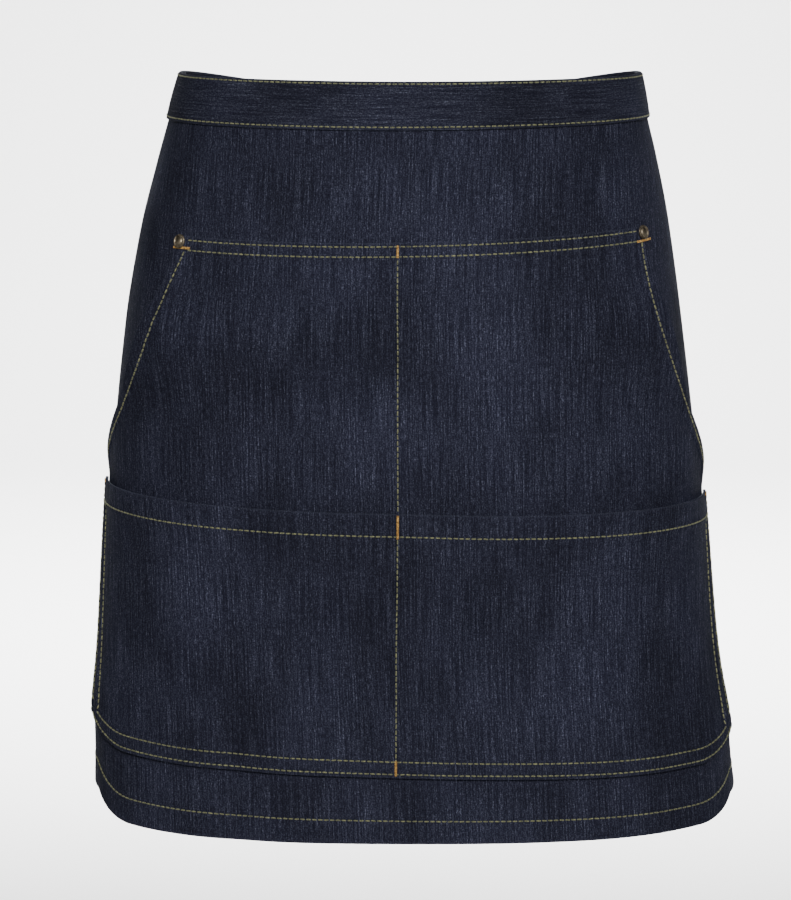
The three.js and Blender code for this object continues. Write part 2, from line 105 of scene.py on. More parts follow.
# The light is a soft box in front, above the camera, a second one that faces the
# backdrop, and a dim room, so that the cloth is brightest where it faces the camera.
world = bpy.data.worlds.new("room")
world.use_nodes = True
world.node_tree.nodes["Background"].inputs["Color"].default_value = hex_colour("f2f4fa")
world.node_tree.nodes["Background"].inputs["Strength"].default_value = 0.08
bpy.context.scene.world = world
for name, place, aim, size, beam, watts in (
        ("key", (0.25, -3.2, 1.1), (0, 0, -0.22), 0.9, 50, 11),
        ("backdrop", (0, 1.6, 2.4), (0, 4.6, -0.2), 2.6, 120, 800)):
    lamp = bpy.data.lights.new(name, "AREA")
    lamp.size = size
    lamp.energy = watts
    lamp.spread = math.radians(beam)
    holder = bpy.data.objects.new(name, lamp)
    holder.location = place
    away = np.array(place) - np.array(aim)
    flat = math.hypot(away[0], away[1])
    holder.rotation_euler = (math.atan2(flat, away[2]), 0, math.atan2(away[0], -away[1]))
    bpy.context.scene.collection.objects.link(holder)

# The panel is a rectangle of denim, turned under at its foot and sides, and sewn into the
# band at its top. It hangs round the wearer, who isn't shown. Sizes are in millimetres.
cloth_width, cloth_length, cloth_wall, folded_wall = 700, 500, 1.2, 1.0
side_hem, foot_hem, seam_gap = 12, 16.5, 0.3
waist_half_width, hem_half_width = 155.5, 223.5
waist_depth, hem_depth = 94, 138
waist_squareness, hem_squareness = 2.35, 3.1
cloth_turn, back_drop = -8, 12
sway_size, rise_size, lean_size, fold_depth = 4.5, 12, 5.2, 3
band_height, band_wall, band_tuck = 32, 1.6, 13
half_cloth, waist_level = cloth_width / 2, band_height / 2
hem_row, side_row = 15.3, 10.5

# columns: share down the cloth, flare, sway, rise, lean
hang = np.array([
    (0.00, 0.000, 0.20, 0.54, 0.00), (0.06, 0.100, -0.14, 0.65, 0.10),
    (0.12, 0.210, -0.35, 0.80, 0.35), (0.21, 0.355, -0.65, 1.00, 0.56),
    (0.34, 0.512, -0.85, 0.92, 0.20), (0.56, 0.695, -0.49, 0.75, -0.88),
    (0.75, 0.819, -0.18, 0.70, -1.00), (0.90, 0.919, 0.55, 0.65, -1.00),
    (1.00, 1.000, 1.00, 0.72, 0.00)])

# columns: share across and down the cloth, turn in degrees, long, wide, lift, for the
# large folds that the CAD has too
folds = [
    (-0.07, 0.12, 60, 0.09, 0.025, -0.5), (0.05, 0.12, -50, 0.07, 0.025, -0.5),
    (-0.24, 0.13, 30, 0.07, 0.05, -0.7), (-0.42, 0.37, -40, 0.14, 0.035, 0.7),
    (-0.30, 0.35, -40, 0.14, 0.035, -0.7), (-0.33, 0.52, 10, 0.09, 0.06, 0.8),
    (0.07, 0.56, 20, 0.06, 0.04, -0.8), (0.35, 0.42, 35, 0.16, 0.05, 0.5),
    (-0.40, 0.78, 0, 0.20, 0.045, 0.8), (-0.31, 0.80, 0, 0.22, 0.03, -0.7),
    (-0.19, 0.78, 5, 0.20, 0.05, 0.6), (0.24, 0.74, 15, 0.09, 0.05, -0.8),
    (0.40, 0.80, 0, 0.20, 0.05, 0.6), (0.55, 0.82, 0, 0.20, 0.03, -0.8),
    (-0.68, 0.88, 0, 0.07, 0.05, 1.2), (0.72, 0.88, 0, 0.07, 0.05, 1.2)]

# the same columns for small creases that only the eye needs
creases = [
    (-0.09, 0.115, 62, 0.035, 0.007, -0.30), (-0.05, 0.125, 58, 0.030, 0.007, 0.18),
    (0.05, 0.115, -55, 0.030, 0.008, -0.28), (0.09, 0.120, -50, 0.025, 0.007, 0.15),
    (-0.47, 0.300, -38, 0.050, 0.010, 0.20), (-0.38, 0.340, -42, 0.055, 0.010, -0.26),
    (-0.29, 0.400, -38, 0.045, 0.010, 0.20), (-0.22, 0.460, -30, 0.040, 0.012, -0.20),
    (0.28, 0.330, 40, 0.050, 0.012, 0.18), (0.36, 0.390, 36, 0.050, 0.012, -0.18),
    (0.10, 0.540, 28, 0.030, 0.010, -0.28), (0.03, 0.560, 40, 0.028, 0.010, 0.20),
    (-0.36, 0.470, 12, 0.040, 0.012, 0.18), (-0.52, 0.640, -8, 0.060, 0.012, -0.20),
    (0.22, 0.700, 30, 0.030, 0.010, -0.30), (0.30, 0.740, 12, 0.035, 0.010, 0.22),
    (-0.12, 0.640, 16, 0.045, 0.012, -0.18), (0.46, 0.640, -12, 0.055, 0.012, 0.18),
    (0.64, 0.500, -20, 0.060, 0.014, -0.22), (-0.70, 0.420, 22, 0.060, 0.014, -0.20),
    (0.12, 0.930, -20, 0.030, 0.012, 0.18), (-0.44, 0.930, 18, 0.030, 0.012, -0.16)]


def read_table(down, column):
    """A column of the hang at a place down the cloth, by a smooth curve through its rows."""
    row = int(np.clip(np.searchsorted(hang[:, 0], down, side="left") - 1, 0, len(hang) - 2))
    near_rows = [np.clip(row + i, 0, len(hang) - 1) for i in (-1, 0, 1, 2)]
    before, start, end, after = (hang[near] for near in near_rows)
    width = end[0] - start[0]
    share = min(max((down - start[0]) / width, 0), 1)
    first = (end[column] - before[column]) / (end[0] - before[0]) * width
    last = (after[column] - start[column]) / (after[0] - start[0]) * width
    square, cube = share ** 2, share ** 3
    return (start[column] * (2 * cube - 3 * square + 1) + first * (cube - 2 * square + share)
            + end[column] * (3 * square - 2 * cube) + last * (cube - square))


drop_step, ring_steps = 2.0, 720
drops_known = np.arange(-6, 508, drop_step)
arcs_known = np.arange(-470, 471, 1.0)
ring_angles = np.linspace(0, np.pi, ring_steps + 1)
cloth_known = np.zeros((len(drops_known), len(arcs_known), 3))
half_loops = np.zeros(len(drops_known))
for row, drop in enumerate(drops_known):
    down = drop / cloth_length
    flare, sway, rise, lean = (read_table(down, column) for column in (1, 2, 3, 4))
    half_width = waist_half_width + (hem_half_width - waist_half_width) * flare
    depth = waist_depth + (hem_depth - waist_depth) * flare
    square = waist_squareness + (hem_squareness - waist_squareness) * down
    reach = ((np.sin(ring_angles) / half_width) ** square
             + (np.abs(np.cos(ring_angles)) / depth) ** square) ** (-1 / square)
    ring_x, ring_y = reach * np.sin(ring_angles), -reach * np.cos(ring_angles)
    arc = np.concatenate([[0], np.cumsum(np.hypot(np.diff(ring_x), np.diff(ring_y)))])
    side_arc, half_loops[row] = arc[ring_steps // 2], arc[ring_steps]
    far = np.minimum(np.abs(arcs_known), half_loops[row])
    x = np.where(arcs_known < 0, -1, 1) * np.interp(far, arc, ring_x)
    back = np.clip((far - side_arc) / (half_loops[row] - side_arc), 0, 1)
    up = rise_size * rise * np.where(
        far < side_arc, (far / side_arc) ** 2,
        2 * back ** 3 - 3 * back ** 2 + 1 + 2 * (back ** 3 - 2 * back ** 2 + back))
    up = up - back_drop * (3 * back ** 2 - 2 * back ** 3)
    cloth_known[row, :, 0] = x + sway_size * sway
    cloth_known[row, :, 1] = np.interp(far, arc, ring_y)
    cloth_known[row, :, 2] = waist_level - drop + up + lean_size * lean * x / half_width


def cloth_point(across, drop):
    """Points of the panel's inner face, from places on the flat cloth."""
    column = np.clip(across + cloth_turn - arcs_known[0], 0, len(arcs_known) - 1.001)
    row = np.clip((drop - drops_known[0]) / drop_step, 0, len(drops_known) - 1.001)
    i, j = row.astype(int), column.astype(int)
    u, v = (row - i)[..., None], (column - j)[..., None]
    top = cloth_known[i, j] * (1 - v) + cloth_known[i, j + 1] * v
    foot = cloth_known[i + 1, j] * (1 - v) + cloth_known[i + 1, j + 1] * v
    return top * (1 - u) + foot * u


def cloth_normal(across, drop):
    """Directions out of the cloth."""
    along = cloth_point(across + 2, drop) - cloth_point(across - 2, drop)
    down = cloth_point(across, drop + 2) - cloth_point(across, drop - 2)
    out = np.cross(down, along)
    return out / np.linalg.norm(out, axis=-1, keepdims=True)


def smooth_step(value, low, high):
    """0 below low, 1 above high, and a smooth change between."""
    share = np.clip((value - low) / (high - low), 0, 1)
    return share * share * (3 - 2 * share)


def fold_lift(across, drop):
    """How far the folds carry all the layers out."""
    lift = np.zeros(np.broadcast(across, drop).shape)
    for at, below, turn, long, wide, size in folds + creases:
        turn = math.radians(turn)
        aside, under = across - at * half_cloth, drop - below * cloth_length
        along = (under * math.cos(turn) - aside * math.sin(turn)) / (long * cloth_length)
        over = (aside * math.cos(turn) + under * math.sin(turn)) / (wide * cloth_length)
        lift += size * fold_depth * np.exp(-along ** 2 - over ** 2)
    return lift * smooth_step(drop, band_height, 2 * band_height)


def off_cloth(across, drop, distance):
    """Points that lie off the panel's inner face by a distance, folds included."""
    across, drop = np.broadcast_arrays(np.asarray(across, float), np.asarray(drop, float))
    distance = np.asarray(distance) + fold_lift(across, drop)
    return cloth_point(across, drop) + cloth_normal(across, drop) * distance[..., None]


pocket_top, pocket_foot, mouth_end = 104.3, 455.7, 262
pocket_half_width, pocket_shift, pocket_top_half_width, pocket_top_shift = 243, 8, 166, 14
mouth_hem, pocket_top_hem, pocket_foot_hem, hem_step = 10, 10, 12.5, 2
lower_top, lower_hem = 281, 16.5
corner_rise, corner_run, hem_rise_share = 18, 45, 0.67
rise_holds, rise_ends = 2.2, 3.4


def pocket_edge(side, level):
    """The pocket's side edge: the slanted mouth, then straight."""
    top = side * pocket_top_half_width + pocket_top_shift
    foot = side * pocket_half_width + pocket_shift
    down = np.clip((level - pocket_top) / (mouth_end - pocket_top), 0, 1)
    return top + (foot - top) * down ** (1.9 if side < 0 else 2.5)


def corner_lift(across, level):
    """How far a level is drawn up towards the pockets' two bottom corners."""
    body = lower_top + lower_hem + hem_step
    near_foot = np.clip((level - body) / (pocket_foot - body), 0, 1)
    below_foot = np.maximum((level - pocket_foot) / (cloth_length - pocket_foot), 0)
    kept = 1 - (1 - hem_rise_share) * below_foot
    aside = (np.abs(across - pocket_shift) - pocket_half_width + corner_run) / corner_run
    return (corner_rise * kept * near_foot ** 2 * np.clip(aside, 0, 1) ** 2
            * (1 - smooth_step(aside, rise_holds, rise_ends)))


def even_lines(start, end, step, marks=()):
    """Lines an even step apart, with closer ones round each mark, where a seam runs."""
    lines = list(np.linspace(start, end, max(2, int(round(abs(end - start) / step)) + 1)))
    for mark in marks:
        closer = [mark + shift for shift in (-1.6, -0.7, 0, 0.7, 1.6)]
        lines = [line for line in lines if abs(line - mark) > 0.8 * step]
        lines += [line for line in closer if start <= line <= end]
    return np.array(sorted(set([start, end] + lines)))


def rounded(inside, radius=0.55):
    """How far a face draws back over a cut or folded edge, at a distance inside it."""
    near = 1 - np.clip(inside / radius, 0, 1)
    return radius * (1 - np.sqrt(np.clip(1 - near ** 2, 0, 1)))


edge_marks = (0, 0.08, 0.25, 0.55, 1.2)


def with_edges(lines, start, end):
    """Lines with close ones added inside the start and the end, where an edge is rounded."""
    starts = [] if start is None else [start + mark for mark in edge_marks]
    ends = [] if end is None else [end - mark for mark in edge_marks]
    return np.array(sorted(set(list(lines) + starts + ends)))


def turned(inside, hem):
    """The share of a turned edge's extra wall at a distance inside that edge."""
    return 1 - smooth_step(inside, hem, hem + hem_step)


def seam_dent(distance, along, depth=0.42, pucker=0.16):
    """A stitch row's groove and the small puckers beside it."""
    wave = np.sin(along * 2 * np.pi / 9.1) + 0.6 * np.sin(along * 2 * np.pi / 13.7 + 1)
    return -depth * np.exp(-distance ** 2) + pucker * wave * np.exp(-(distance / 4) ** 2)


def rubbed_edge(distance, amount=0.30, reach=0.8):
    """How worn the cloth is at a distance from a folded edge."""
    return amount * np.exp(-(distance / reach) ** 2)


def add_mesh(name, points, faces, material, maps=None, wear=None, sharp=42):
    """An object of one mesh in metres, with its cloth map and its worn places."""
    mesh = bpy.data.meshes.new(name)
    mesh.from_pydata((np.asarray(points) / 1000).tolist(), [], faces)
    if maps is not None:
        layer = mesh.uv_layers.new(name="cloth")
        corners = np.zeros(len(mesh.loops), dtype=np.int32)
        mesh.loops.foreach_get("vertex_index", corners)
        layer.data.foreach_set("uv", (np.asarray(maps)[corners] / 1000).ravel())
    if wear is not None:
        worn = mesh.attributes.new("wear", "FLOAT", "POINT")
        worn.data.foreach_set("value", np.asarray(wear).ravel())
    mesh.polygons.foreach_set("use_smooth", [True] * len(mesh.polygons))
    mesh.set_sharp_from_angle(angle=math.radians(sharp))
    mesh.materials.append(material)
    made = bpy.data.objects.new(name, mesh)
    bpy.context.scene.collection.objects.link(made)
    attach(made, "root")
    return made


def layer_faces(high, wide):
    """The quads of a closed layer whose outer grid comes before its inner one."""
    grid = np.arange(high * wide).reshape(high, wide)
    lower = grid + high * wide
    a, b, c, d = grid[:-1, :-1], grid[1:, :-1], grid[1:, 1:], grid[:-1, 1:]
    faces = [np.stack([a, b, c, d], -1).reshape(-1, 4)]
    faces.append(np.stack([a, d, c, b], -1).reshape(-1, 4) + high * wide)
    for line, back, flip in ((grid[:, 0], lower[:, 0], False), (grid[:, -1], lower[:, -1], True),
                             (grid[0], lower[0], True), (grid[-1], lower[-1], False)):
        quads = np.stack([line[:-1], back[:-1], back[1:], line[1:]], -1)
        faces.append(quads[:, ::-1] if flip else quads)
    return np.concatenate(faces).tolist()


def add_layer(name, across, level, inner, outer, material, wear):
    """A cloth layer between two faces over a grid of places on the flat cloth. Its inner
    face has a wear of -1, by which the denim shows its reverse."""
    drop = level - corner_lift(across, level)
    points = np.concatenate([off_cloth(across, drop, outer).reshape(-1, 3),
                             off_cloth(across, drop, inner).reshape(-1, 3)])
    flat = np.stack([across + half_cloth, cloth_length - level], -1).reshape(-1, 2)
    maps = np.concatenate([flat, flat])
    worn = np.concatenate([wear.ravel(), np.full(wear.size, -1.0)])
    return add_mesh(name, points, layer_faces(*across.shape), material, maps, worn)


def denim(name, mid, dark, light, fleck, grain=(1.0, 15.0), cloud_size=70):
    """Dark denim: upright warp streaks with pale flecks of weft, worn paler at its edges,
    and a paler reverse. grain is the width and length of a streak in millimetres."""
    made, tree = new_material(name)
    cloth = node(tree, "ShaderNodeUVMap", uv_map="cloth").outputs[0]
    worn = node(tree, "ShaderNodeAttribute", attribute_name="wear").outputs["Fac"]

    def noise(wide, long, detail=2.0, shift=0.0):
        """Noise whose grains have a width and a length in millimetres."""
        placed = node(tree, "ShaderNodeMapping", {
            "Vector": cloth, "Location": (shift, shift / 2, 0),
            "Scale": (1000 / wide, 1000 / long, 1)}).outputs[0]
        values = {"Vector": placed, "Scale": 1.0, "Detail": detail, "Roughness": 0.6}
        return node(tree, "ShaderNodeTexNoise", values, noise_dimensions="2D").outputs[0]

    def math_node(operation, first, second, clamp=False):
        """One sum, product or other of two values or sockets."""
        return node(tree, "ShaderNodeMath", {0: first, 1: second},
                    operation=operation, use_clamp=clamp).outputs[0]

    wide, long = grain
    streaks = noise(wide, long * 3.0)
    yarns = noise(wide * 0.8, long * 0.25, shift=7.3)
    knots = noise(wide * 0.8, wide, shift=3.1)
    cloud = noise(cloud_size, cloud_size * 1.6, 3.0, 1.7)
    streak_share = math_node("MULTIPLY", streaks, 0.30)
    yarn_share = math_node("MULTIPLY", yarns, 0.30)
    knot_share = math_node("MULTIPLY", knots, 0.40)
    tone = math_node("ADD", math_node("ADD", streak_share, yarn_share), knot_share)
    spread = node(tree, "ShaderNodeMapRange", {
        "Value": tone, "From Min": 0.34, "From Max": 0.66}).outputs[0]
    ramp = node(tree, "ShaderNodeValToRGB", {"Fac": spread})
    stops = ramp.color_ramp.elements
    stops[0].color, stops[1].color = hex_colour(dark), hex_colour(fleck)
    for place, colour in ((0.48, mid), (0.80, light)):
        stops.new(place).color = hex_colour(colour)
    fade = node(tree, "ShaderNodeMapRange", {
        "Value": cloud, "From Min": 0.3, "From Max": 0.7,
        "To Min": 0.72, "To Max": 1.28}).outputs[0]
    faded = node(tree, "ShaderNodeVectorMath", {0: ramp.outputs[0], 1: fade},
                 operation="MULTIPLY").outputs[0]
    rubbed = math_node("MULTIPLY", worn, math_node("MULTIPLY", knots, 1.4), True)
    edge = node(tree, "ShaderNodeMix", {
        0: rubbed, 6: faded, 7: hex_colour("454957")}, data_type="RGBA").outputs[2]
    weft = node(tree, "ShaderNodeMix", {
        0: yarns, 6: hex_colour("3c414d"), 7: hex_colour("7c818d")}, data_type="RGBA").outputs[2]
    reverse = math_node("LESS_THAN", worn, -0.5)
    colour = node(tree, "ShaderNodeMix", {0: reverse, 6: edge, 7: weft},
                  data_type="RGBA").outputs[2]
    twill = node(tree, "ShaderNodeMapping", {
        "Vector": cloth, "Rotation": (0, 0, math.radians(63)), "Scale": (1000, 1000, 1)}).outputs[0]
    ribs = node(tree, "ShaderNodeTexWave", {
        "Vector": twill, "Scale": 0.9, "Distortion": 0.6, "Detail": 1.0}).outputs[1]
    height = math_node("ADD", math_node("MULTIPLY", ribs, 0.45), tone)
    bump = node(tree, "ShaderNodeBump", {
        "Height": height, "Strength": 0.55, "Distance": 0.0004}).outputs[0]
    shader = node(tree, "ShaderNodeBsdfPrincipled", {
        "Base Color": colour, "Roughness": 0.9, "Specular IOR Level": 0.1,
        "Sheen Weight": 0.02, "Sheen Roughness": 0.45, "Sheen Tint": hex_colour("7f8fc0"),
        "Normal": bump})
    node(tree, "ShaderNodeOutputMaterial", {"Surface": shader.outputs[0]})
    return made


panel_denim = denim("indigo_denim", "20212e", "10101b", "363847", "56596a")
grid_step = 2.9
columns = even_lines(-half_cloth, half_cloth, grid_step, (
    -half_cloth + side_row, half_cloth - side_row,
    pocket_shift - pocket_half_width, pocket_shift + pocket_half_width))
rows = even_lines(band_height - band_tuck, cloth_length, grid_step, (cloth_length - hem_row,))
across, level = np.meshgrid(with_edges(columns, -half_cloth, half_cloth),
                            with_edges(rows, None, cloth_length))
beside, below = half_cloth - np.abs(across), cloth_length - level
below_band = smooth_step(level, band_height + seam_gap, 2 * band_height)
hem_share = np.maximum(turned(beside, side_hem) * below_band, turned(below, foot_hem))
edge = np.minimum(beside, below)
dents = seam_dent(below - hem_row, across) + seam_dent(beside - side_row, level) * below_band
roping = 0.22 * np.sin((across + 0.8 * level) * 2 * np.pi / 11) * turned(below, foot_hem - 3)
outer = cloth_wall + dents + roping * smooth_step(below, 0, 4) - rounded(edge)
inner = -folded_wall * hem_share + rounded(edge)
wear = rubbed_edge(edge)
main_panel = add_layer("denim_panel", across, level, inner, outer, panel_denim, wear)
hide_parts("main_panel")

# The upper pocket is a patch of the same denim with a slanted mouth on each side. It is
# sewn down along its top, lower sides and foot, and stands off a little at its mouths.
hand_gape, hand_span, mouth_reach, mouth_fade = 10, 0.7, 70, 18
top_rows = (2.7, 9.3)


def mouth_gap(across, level):
    """How far the upper pocket stands off the panel at its mouths."""
    edge = np.where(across < 0, pocket_edge(-1, level), pocket_edge(1, level))
    top = pocket_top + pocket_top_hem
    along = np.clip((level - top) / (mouth_end + mouth_fade - top), 0, 1)
    hand = np.sin(np.pi * np.minimum(along / hand_span, 1)) ** 2
    lip = np.where(across < 0, 3.2, 4.2) * np.sin(np.pi * along ** 2)
    return (hand_gape * hand + lip) * np.exp(-((edge - across) / mouth_reach) ** 2)


def beside_pocket(across, level):
    """The distance inside the nearer side edge of the pockets."""
    return np.minimum(across - pocket_edge(-1, level), pocket_edge(1, level) - across)


def pocket_hem_share(across, level):
    """The share of the extra wall that the pockets' side and foot hems have."""
    return np.maximum(turned(beside_pocket(across, level), mouth_hem),
                      turned(pocket_foot - level, pocket_foot_hem))


def upper_inner(across, level):
    """How far off the cloth the upper pocket's inner face is."""
    return cloth_wall + seam_gap + mouth_gap(across, level)


def upper_outer(across, level):
    """How far off the cloth the upper pocket's outer face is. Its side and foot hems
    fade out below the lower pocket, where nothing shows them."""
    covered = smooth_step(level, mouth_end, lower_top)
    share = np.maximum(turned(level - pocket_top, pocket_top_hem),
                       pocket_hem_share(across, level) * (1 - covered))
    return upper_inner(across, level) + cloth_wall + folded_wall * share


def mouth_row(across, level):
    """How far inside its mouth's edge the row of stitches beside each hand mouth runs."""
    left = np.interp(
        level, (113, 125, 137, 148, 160, 171, 183, 195, 208, 221, 234, 247, 265),
        (11.2, 6.9, 5.8, 6.9, 9.2, 10.6, 10.9, 10.2, 9.0, 8.2, 8.6, 8.4, 8.0))
    right = np.interp(
        level, (116, 128, 140, 151, 163, 174, 186, 198, 210, 223, 235, 248, 265),
        (7.4, 7.3, 8.3, 9.5, 10.3, 10.3, 9.4, 7.6, 5.6, 4.2, 4.8, 6.2, 7.0))
    return np.where(np.asarray(across) < 0, left, right)


def seam_across(level):
    """Where the centre seam runs: it leans a little."""
    return np.interp(level, (pocket_top, 175, lower_top, 340, 400, pocket_foot),
                     (3.6, 4.6, 3.0, 1.8, -0.3, -3.2))


def pocket_grid(rows):
    """Places on the flat cloth whose upright lines follow the pocket's side edges."""
    near_edge = np.array(edge_marks + (2.2, 3.2, 4, 4.8, 6, 7.2, 8, 8.8, 10, 11.2, 12, 12.8, 14))
    near_seam = np.array([-4, -2.4, -1.2, 0, 1.2, 2.4, 4])
    edge_band, seam_band = near_edge[-1], near_seam[-1]
    share = even_lines(0, 1, 1 / 72)[1:-1]
    grid = []
    for level in rows:
        left, right = float(pocket_edge(-1, level)), float(pocket_edge(1, level))
        seam = float(seam_across(level))
        left_field = seam - seam_band - left - edge_band
        right_field = right - edge_band - seam - seam_band
        grid.append(np.concatenate([
            left + near_edge, left + edge_band + left_field * share, seam + near_seam,
            seam + seam_band + right_field * share, right - near_edge[::-1]]))
    return np.array(grid), np.repeat(rows[:, None], len(grid[0]), 1)


rows = even_lines(pocket_top, pocket_foot, 3.0, [pocket_top + row for row in top_rows[::-1]])
across, level = pocket_grid(with_edges(rows, pocket_top, pocket_foot))
beside, below = beside_pocket(across, level), level - pocket_top
edge = np.minimum(np.minimum(beside, below), pocket_foot - level)
open_mouth = 1 - smooth_step(level, mouth_end, mouth_end + 4)
above_lower = 1 - smooth_step(level, lower_top - 8, lower_top - 2)
below_top = smooth_step(below, 9, 12)
mouth_dent = seam_dent(beside - mouth_row(across, level), level) * open_mouth
centre_dent = seam_dent(across - seam_across(level), level, 0.40, 0.12)
dents = ((seam_dent(below - top_rows[0], across) + seam_dent(below - top_rows[1], across)
          + mouth_dent * below_top + centre_dent * below_top) * above_lower)
outer = upper_outer(across, level) + dents - rounded(edge)
inner = upper_inner(across, level) + rounded(edge)
wear = rubbed_edge(below) + rubbed_edge(beside) * open_mouth
upper_pocket = add_layer("upper_pocket_patch", across, level, inner, outer, panel_denim, wear)
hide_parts("upper_pocket")

# The lower pocket is a second patch over the lower half of the first, open at its top
# and divided in two by the seam down its middle.
lower_gape, lower_reach, lower_hem_row = 8.5, 100, 15
side_rows, foot_rows = (4, 12), (2.6, 10.8)


def lower_inner(across, level):
    """How far off the cloth the lower pocket's inner face is."""
    edge = np.where(across < 0, pocket_edge(-1, pocket_foot), pocket_edge(1, pocket_foot))
    swell = np.sin(np.pi * np.minimum(across / edge, 1))
    closing = np.clip(1 - (level - lower_top) / lower_reach, 0, 1)
    return upper_outer(across, level) + seam_gap + lower_gape * swell * closing ** 2


def lower_outer(across, level):
    """How far off the cloth the lower pocket's outer face is."""
    share = np.maximum(turned(level - lower_top, lower_hem), pocket_hem_share(across, level))
    return lower_inner(across, level) + cloth_wall + folded_wall * share


rows = even_lines(lower_top, pocket_foot, 2.8, [lower_top + lower_hem_row] + [
    pocket_foot - row for row in foot_rows[::-1]])
across, level = pocket_grid(with_edges(rows, lower_top, pocket_foot))
beside, below, foot = beside_pocket(across, level), level - lower_top, pocket_foot - level
edge = np.minimum(np.minimum(beside, below), foot)
dents = (seam_dent(below - lower_hem_row, across)
         + sum(seam_dent(foot - row, across) for row in foot_rows)
         + sum(seam_dent(beside - row, level) for row in side_rows)
         + seam_dent(across - seam_across(level), level, 0.42, 0.14))
outer = lower_outer(across, level) + dents - rounded(edge)
inner = lower_inner(across, level) + rounded(edge)
wear = rubbed_edge(below) + rubbed_edge(foot, 0.15)
lower_pocket = add_layer("lower_pocket_patch", across, level, inner, outer, panel_denim, wear)
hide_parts("lower_pocket")

# The waistband is a strip of denim folded over the panel's top edge, with its grain
# running along it, sewn down by one row of stitches and edged by another.
band_inner, band_outer = -seam_gap - band_wall, cloth_wall + seam_gap + band_wall
band_overrun, band_round = 1.5, 1.2
band_denim = denim("band_denim", "20212e", "0f0f1a", "343642", "515463", (1.0, 11.0), 60)
band_bevel, band_rows = 0.4, (2.0, band_height - 2.0)
band_end = half_cloth + band_overrun


def strip_faces(count, sides):
    """The faces of a closed strip of many stations, capped at both ends."""
    faces = []
    for i in range(count - 1):
        for j in range(sides):
            after = (j + 1) % sides
            here, beyond = i * sides, (i + 1) * sides
            faces.append((here + j, here + after, beyond + after, beyond + j))
    first, last = range(sides), range((count - 1) * sides, count * sides)
    return faces + [tuple(first)[::-1], tuple(last)]


slot_top = band_height - band_tuck - seam_gap
outer_levels = (band_height - band_bevel, 31, 30.4, 29.8, 29, 26, 22, 18, 14, 10, 6, 4, 3,
                2.4, 1.8, band_round)
section = [(band_outer, level) for level in outer_levels]
for face, turns in ((band_outer, np.linspace(0, np.pi / 2, 5)[1:]),
                    (band_inner, np.linspace(np.pi / 2, 0, 5))):
    section += [(face + math.copysign(band_round, -face) * (1 - math.cos(turn)),
                 band_round * (1 - math.sin(turn))) for turn in turns]
section += [(band_inner, level) for level in (6, 12, 18, 24, 28, 30, band_height - band_bevel)]
section += [(band_inner + band_bevel, band_height), (-seam_gap, band_height),
            (-seam_gap, slot_top), (cloth_wall + seam_gap, slot_top),
            (cloth_wall + seam_gap, band_height), (band_outer - band_bevel, band_height)]
stations = with_edges(even_lines(-band_end, band_end, 2.4), -band_end, band_end)
drop, across = np.meshgrid([level for _, level in section], stations)
off = np.broadcast_to([distance for distance, _ in section], across.shape)
outside = off > cloth_wall + seam_gap + 0.5
dents = (seam_dent(drop - band_rows[1], across, 0.32, 0.10)
         + seam_dent(drop - band_rows[0], across, 0.26, 0.08))
ends = rounded(band_end - np.abs(across))
bulge = 0.5 * np.sin(np.pi * np.clip(drop / band_height, 0, 1))
off = np.where(outside, off + dents + bulge - ends, np.where(off < -1, off + ends, off))
points = off_cloth(across, drop, off).reshape(-1, 3)
maps = np.stack([300 + drop + np.where(outside, 0, 60), across + half_cloth], -1).reshape(-1, 2)
wear = rubbed_edge(drop, 0.25, 0.9) + rubbed_edge(drop - band_height, 0.15)
waistband = add_mesh("denim_waistband", points, strip_faces(*across.shape), band_denim, maps, wear)
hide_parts("waistband")

# Each seam is a row of heavy topstitches of pale olive thread, which sit in the groove
# that they pull in the cloth.
stitch_pitch, stitch_long, stitch_wide, stitch_high = 3.9, 3.2, 1.05, 0.62
chance = np.random.default_rng(7)


def plain_thread(name, mid, dark, light):
    """Twisted cotton thread, darker between its turns and grubby in places."""
    made, tree = new_material(name)
    place = node(tree, "ShaderNodeTexCoord").outputs["Object"]
    grime = node(tree, "ShaderNodeTexNoise", {
        "Vector": place, "Scale": 900.0, "Detail": 2.0}).outputs[0]
    ramp = node(tree, "ShaderNodeValToRGB", {"Fac": grime})
    stops = ramp.color_ramp.elements
    stops[0].position, stops[1].position = 0.3, 0.7
    stops[0].color, stops[1].color = hex_colour(dark), hex_colour(light)
    stops.new(0.5).color = hex_colour(mid)
    twist = node(tree, "ShaderNodeTexWave", {
        "Vector": place, "Scale": 1100.0, "Distortion": 2.0}).outputs[1]
    bump = node(tree, "ShaderNodeBump", {
        "Height": twist, "Strength": 0.4, "Distance": 0.0001}).outputs[0]
    shader = node(tree, "ShaderNodeBsdfPrincipled", {
        "Base Color": ramp.outputs[0], "Roughness": 0.62, "Specular IOR Level": 0.3,
        "Sheen Weight": 0.1, "Normal": bump})
    node(tree, "ShaderNodeOutputMaterial", {"Surface": shader.outputs[0]})
    return made


olive_thread = plain_thread("olive_thread", "6b6c4e", "444532", "8e8e66")
gold_thread = plain_thread("gold_thread", "a87e3a", "644826", "d6ae66")


